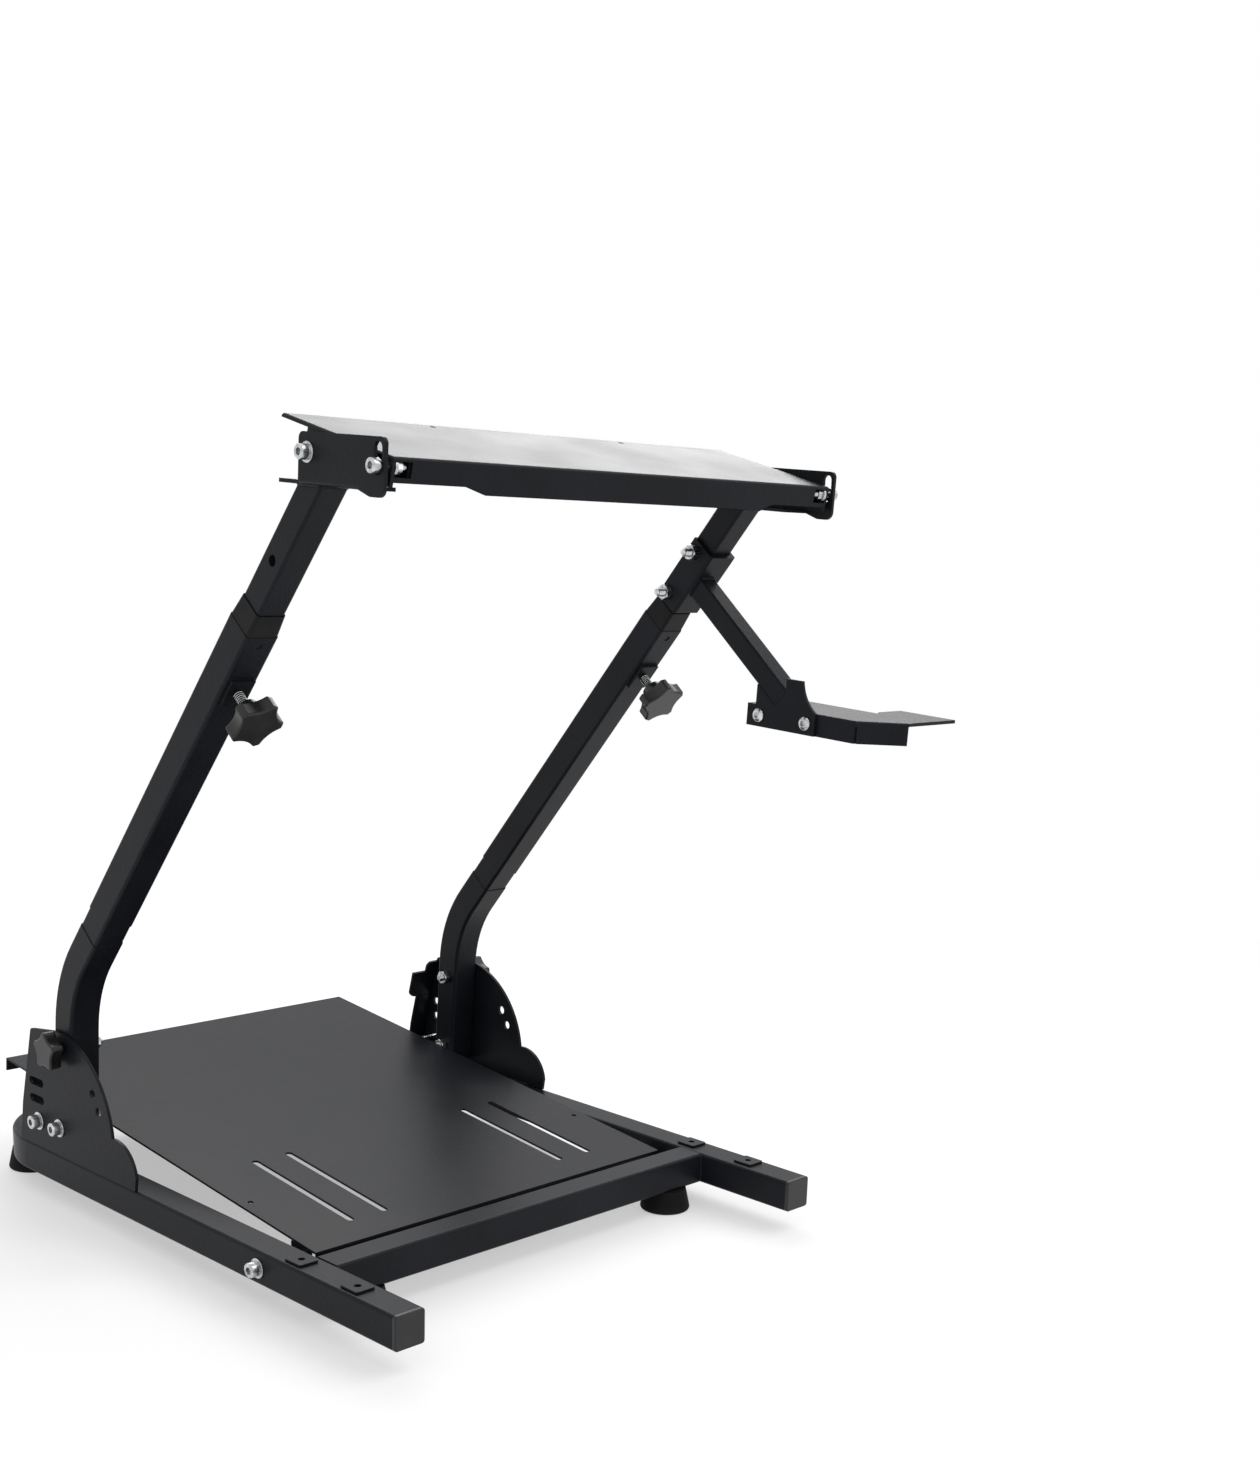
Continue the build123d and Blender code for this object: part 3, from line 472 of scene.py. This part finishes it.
def nutPocket(spec):  # open box under the sheet, drawn level about the tilt bolts with its ear at the origin
    pickOnly()
    size = (spec["wide"], spec["deep"], spec["top"] - spec["bottom"])
    middle = (spec["wide"] / 2, spec["deep"] / 2 - spec["front"], (spec["top"] + spec["bottom"]) / 2)
    bpy.ops.mesh.primitive_cube_add(size=1, location=[c * mm for c in middle])
    bpy.context.object.scale = [c * mm for c in size]
    piece = placeApplied()
    pickFaces(piece, lambda face: face.normal.y < -0.9 or face.normal.x < -0.9 or face.normal.z > 0.9)
    bpy.ops.mesh.delete(type="FACE")
    bpy.ops.object.mode_set(mode="OBJECT")
    thickened(piece, spec["sheet"], 0.0, spec["round"])
    return smoothed(piece, "coated")


kit["pocket"] = nutPocket(pocketSpec)
for side, word, end in sides:
    seat = Matrix.Translation((faceX("wheel_plate", side), tiltPoint.y, tiltPoint.z))
    seat = seat @ Matrix.Rotation(radians(pocketSpec["drop"]), 4, "X") @ Matrix.Diagonal((-side, 1, 1, 1))
    joined("nutPocket" + word, [copyAt(kit["pocket"], seat)], "wheel_tray")
print("stage: nut pockets closed")

# Studs of the height knobs and the weld nuts of the lock knobs
knobSpec = {"studAt": -58.0, "padTop": 17.9, "hub": 33.0, "studSize": 1.06, "nutProud": 4.0, "nutSpin": 12}
studLong = (knobSpec["hub"] - knobSpec["padTop"]) / boltSpec["threadLong"]
stretch = Matrix.Diagonal((knobSpec["studSize"], knobSpec["studSize"], studLong, 1))
for side, word, end in sides:
    foot = onTube(centre("lower_tube" + end).x, knobSpec["studAt"], knobSpec["padTop"])
    joined("heightStud" + word, [copyAt(kit["thread"], facing(foot, ahead) @ stretch)], "uprights")
    lock = centre("lock_knob" + end)
    inner = Vector((faceX("lower_tube" + end, -side), lock.y, lock.z))
    inward = Vector((-side, 0, 0))
    lift = inner + inward * (boltSpec["nutHeight"] + knobSpec["nutProud"] - boltSpec["threadLong"]) * mm
    pieces = [copyAt(kit["nut"], facing(inner, inward, knobSpec["nutSpin"])),
              copyAt(kit["thread"], facing(lift, inward))]
    joined("lockNut" + word, pieces, "uprights")
print("stage: knob studs placed")

# Bolts of the shifter holder, on the saddle round the tube and through the gusset
saddleBolt = {"past": 8.0}
gussetBolt = {"past": 2.0, "head": "button", "washers": (0, 0), "size": 0.93}
holderSpec = {"saddleAt": (34.0, 83.0), "saddleSpin": (25, 50), "saddleBack": -3.0, "armAt": 59.0, "armReach": 161.0,
              "behind": 38.98, "below": 27.06, "tilt": 2.8, "gussetAt": (-14.0, -68.7), "gussetSpin": (18, 36),
              "gussetUp": 10.3, "gussetGrip": 6.0}
saddleLow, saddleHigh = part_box("shifter_saddle")
for i, s in enumerate(holderSpec["saddleAt"]):
    seat = onTube(saddleHigh.x, s, holderSpec["saddleBack"])
    boltSet("saddleBolt" + str(i + 1), seat, (1, 0, 0), (saddleHigh.x - saddleLow.x) / mm, "uppers",
            spin=holderSpec["saddleSpin"][i], **saddleBolt)
gussetX = faceX("gusset_inner", -1)
holderFoot = onTube(gussetX, holderSpec["armAt"], holderSpec["armReach"])
holderFoot = holderFoot + Vector((0, holderSpec["behind"], -holderSpec["below"])) * mm
holderTurn = Matrix.Rotation(radians(holderSpec["tilt"]), 3, "X")
for i, y in enumerate(holderSpec["gussetAt"]):
    seat = holderFoot + holderTurn @ Vector((0, y, holderSpec["gussetUp"])) * mm
    boltSet("gussetBolt" + str(i + 1), seat, (-1, 0, 0), holderSpec["gussetGrip"], "uppers",
            spin=holderSpec["gussetSpin"][i], **gussetBolt)
print("stage: shifter holder bolted")

# Weld beads under the coat: crossbar to rails, side plates to rails, tubes to foot plates, arm to saddle and gusset
weldSpec = {"long": 24.0, "ripple": 2.2, "radius": 1.9, "dip": 0.35, "crest": 0.75, "tip": 0.5, "taper": 0.7,
            "lead": 1.6, "around": 12, "barFoot": 2.0, "barTop": 1.5, "stitch": 32.0, "stitchThick": 1.15,
            "stitchAt": (-108.0, -30.0, 48.0), "plateThick": 3.0, "footDrop": 23.1, "footTurn": 2.8, "tubeHalf": 12.5,
            "armHalf": 10.0, "armBase": 17.0, "short": 1.0, "seamIn": 0.6, "seamLong": 26.0, "seamThick": 0.75}


def weldBead(spec):
    radius, tip, taper = spec["radius"], spec["tip"], spec["taper"]
    steps, height = [(0, tip), (taper, radius - tip)], spec["lead"]
    while height < spec["long"] - spec["lead"]:
        steps += [(height, radius), (height + spec["ripple"] * spec["crest"], radius - spec["dip"])]
        height += spec["ripple"]
    steps += [(spec["long"] - taper, radius - tip), (spec["long"], tip)]
    return smoothed(turned("weldBead", steps, spec["around"]), "coated", 50)


kit["bead"] = weldBead(weldSpec)


def beadBetween(start, end, thick=1.0):
    run = end - start
    stretch = Matrix.Diagonal((thick, thick, run.length / mm / weldSpec["long"], 1))
    return copyAt(kit["bead"], facing(start, run.normalized()) @ stretch)


barLow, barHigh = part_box("crossbar")
beads = []
for x in (barLow.x, barHigh.x):
    for y in (barLow.y, barHigh.y):
        foot, top = barLow.z + weldSpec["barFoot"] * mm, barHigh.z - weldSpec["barTop"] * mm
        beads.append(beadBetween(Vector((x, y, foot)), Vector((x, y, top))))
for side, word, end in sides:
    plateX = faceX("side_plate" + end, side) - side * weldSpec["plateThick"] * mm
    for y in weldSpec["stitchAt"]:
        start = Vector((plateX, foldPoint.y + y * mm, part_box("side_plate" + end)[0].z))
        stitchEnd = start + Vector((0, weldSpec["stitch"] * mm, 0))
        beads.append(beadBetween(start, stitchEnd, weldSpec["stitchThick"]))
joined("baseWelds", beads, "base")

footNormal = Matrix.Rotation(radians(weldSpec["footTurn"]), 3, "X") @ Vector((0, 0, 1))


def underFoot(x, n):  # point of the foot plate's underside, n mm ahead of the tube's middle line
    start = onTube(x, 0, n)
    above = (start - Vector((x, tiltPoint.y, tiltPoint.z))).dot(footNormal)
    return start + along * ((-weldSpec["footDrop"] * mm - above) / along.dot(footNormal))


beads = []
half = weldSpec["tubeHalf"]
run = half - weldSpec["short"]  # beads stop short of the tube's rounded corners
for side, word, end in sides:
    x = centre("upper_tube" + end).x
    for n in (-half, half):
        beads.append(beadBetween(underFoot(x - run * mm, n), underFoot(x + run * mm, n)))
    for edge in (-half * mm, half * mm):
        beads.append(beadBetween(underFoot(x + edge, -run), underFoot(x + edge, run)))
armX = centre("shifter_arm").x
half = weldSpec["armHalf"]
run = half - weldSpec["short"]
armAt, base = holderSpec["armAt"], weldSpec["armBase"]
for s in (armAt - half, armAt + half):
    beads.append(beadBetween(onTube(armX - run * mm, s, base), onTube(armX + run * mm, s, base)))
for edge in (-half * mm, half * mm):
    beads.append(beadBetween(onTube(armX + edge, armAt - run, base), onTube(armX + edge, armAt + run, base)))
seamX = gussetX + weldSpec["seamIn"] * mm
reach = holderSpec["armReach"]
corner = onTube(seamX, armAt - half, reach)
seamEnd = onTube(seamX, armAt - half, reach - weldSpec["seamLong"])
beads.append(beadBetween(onTube(seamX, armAt + half, reach), corner, weldSpec["seamThick"]))
beads.append(beadBetween(corner, seamEnd, weldSpec["seamThick"]))
joined("upperWelds", beads, "uppers")
print("stage: weld beads laid")

# Bent sheets: the low run of the side plates' rear flange that shows in their slots, the pedal plate's front fold
flangeSpec = {"line": ((59.7, 44.5), (69.0, 10.0), (72.0, -9.0)), "wide": 22.0, "thick": 2.8, "round": 6.0,
              "edge": 0.5, "outer": 1, "bothCorners": False, "inset": 0.1, "plateThick": 2.9}
foldSpec = {"line": ((0.3, -0.6), (0.3, -3.0), (1.4, -13.5)), "thick": 2.0, "round": 4.0,
            "edge": 0.4, "outer": -1, "bothCorners": True, "inset": 1.0, "below": 5.7}


def bentSheet(spec, wide):  # sheet along (y, z) points, run across from x = 0 and thickened behind its outer face
    pickOnly()
    (y, z), *rest = spec["line"]
    bpy.ops.mesh.primitive_plane_add(size=1, location=(0, 0, 0))
    piece = bpy.context.object
    bpy.ops.object.mode_set(mode="EDIT")
    bpy.ops.mesh.select_mode(type="VERT")
    bpy.ops.mesh.select_all(action="SELECT")
    bpy.ops.mesh.merge(type="CENTER")
    bpy.ops.transform.translate(value=(0, y * mm, z * mm))
    for nextY, nextZ in rest:
        extruded((0, nextY - y, nextZ - z))
        y, z = nextY, nextZ
    bpy.ops.mesh.select_all(action="SELECT")
    extruded((-wide, 0, 0))
    bpy.ops.mesh.select_mode(type="VERT")
    bpy.ops.mesh.select_all(action="DESELECT")
    shape = bmesh.from_edit_mesh(piece.data)
    for vert in shape.verts:  # the lower corners
        vert.select_set(vert.co.z < (z + 1) * mm and (spec["bothCorners"] or vert.co.x < -wide / 2 * mm))
    bmesh.update_edit_mesh(piece.data)
    bpy.ops.mesh.bevel(offset=spec["round"] * mm, segments=6, affect="VERTICES")
    bpy.ops.mesh.select_all(action="SELECT")
    bpy.ops.mesh.normals_make_consistent(inside=False)
    bpy.ops.object.mode_set(mode="OBJECT")
    if piece.data.polygons[0].normal.y * spec["outer"] < 0:
        piece.data.flip_normals()
    thickened(piece, spec["thick"], -1.0, spec["edge"])
    return smoothed(piece, "coated")


kit["flange"] = bentSheet(flangeSpec, flangeSpec["wide"])
for side, word, end in sides:
    innerX = faceX("side_plate" + end, side) - side * flangeSpec["plateThick"] * mm
    seat = Matrix.Translation((innerX, foldPoint.y - flangeSpec["inset"] * mm, foldPoint.z))
    sheet = copyAt(kit["flange"], seat @ Matrix.Diagonal((side, 1, 1, 1)))
    joined("rearFlange" + word, [sheet], "base")

pedalLow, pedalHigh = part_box("pedal_plate")
kit["fold"] = bentSheet(foldSpec, (pedalHigh.x - pedalLow.x) / mm - 2 * foldSpec["inset"])
foldFoot = Vector((pedalHigh.x - foldSpec["inset"] * mm, pedalLow.y, barHigh.z - foldSpec["below"] * mm))
joined("pedalFrontFold", [copyAt(kit["fold"], Matrix.Translation(foldFoot))], "pedal_tray")
print("stage: bent sheets added")


def seenRays(owner):  # 1 for the rays that show the backdrop: to the camera, mirrored or through glass
    path = addNode(owner, "ShaderNodeLightPath").outputs
    seen = path["Is Camera Ray"]
    for ray in ("Is Glossy Ray", "Is Transmission Ray"):
        seen = addNode(owner, "ShaderNodeMath", {"operation": "MAXIMUM"}, {0: seen, 1: path[ray]}).outputs[0]
    return seen


# Pale floor that keeps the stand's shadow near it and fades to white further off, in metres. To the camera and in
# reflections it glows white: fully far off, and by at least 45 per cent near the stand, which paints the stand's
# shadow lighter
floorSpec = {"size": 30.0, "colour": "#fbfbfb", "fadeFrom": 0.75, "fadeTo": 1.9, "glowOverShadow": 0.45}
white = (1, 1, 1, 1)
pickOnly()
bpy.ops.mesh.primitive_plane_add(size=floorSpec["size"])
floor = bpy.context.object
floor.name = "paleFloor"
floorMaterial = freshMaterial("paleFloorPaint")
place = addNode(floorMaterial, "ShaderNodeTexCoord").outputs["Object"]
distance = addNode(floorMaterial, "ShaderNodeVectorMath", {"operation": "LENGTH"}, {0: place})
# the glow's share has a floor of 0.45 near the stand: painted light laid over the stand's shadow
fade = addNode(floorMaterial, "ShaderNodeMapRange", {"interpolation_type": "SMOOTHSTEP"},
               {"Value": distance.outputs["Value"], "From Min": floorSpec["fadeFrom"],
                "From Max": floorSpec["fadeTo"], "To Min": floorSpec["glowOverShadow"]})
share = addNode(floorMaterial, "ShaderNodeMath", {"operation": "MULTIPLY"},
                {0: fade.outputs[0], 1: seenRays(floorMaterial)})
paint = addNode(floorMaterial, "ShaderNodeBsdfDiffuse", inputs={"Color": hexColour(floorSpec["colour"])})
glow = addNode(floorMaterial, "ShaderNodeEmission", inputs={"Color": white, "Strength": 1.0})
mixed = addNode(floorMaterial, "ShaderNodeMixShader",
                inputs={0: share.outputs[0], 1: paint.outputs[0], 2: glow.outputs[0]})
addNode(floorMaterial, "ShaderNodeOutputMaterial", inputs={"Surface": mixed.outputs[0]})
floor.data.materials.append(floorMaterial)

# White studio with a soft key lamp and a low panel behind the stand that the wheel plate mirrors
worldLevel = 0.85
lampSpecs = {"softKey": {"place": (1.3, -1.5, 2.7), "aim": (0, 0, 0.3), "shape": "SQUARE", "size": (2.4, 2.4),
                         "power": 30.0, "seen": True},
             "rimPanel": {"place": (0.88, 0.84, 1.25), "aim": (-0.1, -0.2, 0.7), "shape": "RECTANGLE",
                          "size": (1.7, 0.55), "power": 11.0, "seen": False}}
world = bpy.data.worlds.new("whiteStudio")
bpy.context.scene.world = world
world.use_nodes = True
world.node_tree.nodes.clear()
level = addNode(world, "ShaderNodeMapRange", inputs={"Value": seenRays(world), "To Min": worldLevel, "To Max": 1.0})
sky = addNode(world, "ShaderNodeBackground", inputs={"Color": white, "Strength": level.outputs[0]})
addNode(world, "ShaderNodeOutputWorld", inputs={"Surface": sky.outputs[0]})
for name, spec in lampSpecs.items():
    bpy.ops.object.light_add(type="AREA", location=spec["place"])
    lamp = bpy.context.object
    lamp.name = name
    lamp.data.shape = spec["shape"]
    lamp.data.size, lamp.data.size_y = spec["size"]
    lamp.data.energy = spec["power"]
    lamp.visible_camera = spec["seen"]
    lamp.rotation_euler = (Vector(spec["aim"]) - lamp.location).to_track_quat("-Z", "Y").to_euler()

# Camera at the photograph's place: metres, degrees, millimetres of lens
cameraSpec = {"place": (-1.126106, -1.365089, 0.64364), "turn": (76.41943, -2.06795, -46.53627), "lens": 46.1159,
              "shift": (-0.02696, 0.17375)}
bpy.ops.object.camera_add(location=cameraSpec["place"], rotation=[radians(a) for a in cameraSpec["turn"]])
camera = bpy.context.object
camera.data.lens = cameraSpec["lens"]
camera.data.shift_x, camera.data.shift_y = cameraSpec["shift"]
bpy.context.scene.camera = camera
bpy.context.scene.view_settings.view_transform = "Standard"
print("stage: floor, light and camera set")

for template in kit.values():
    bpy.data.objects.remove(template)
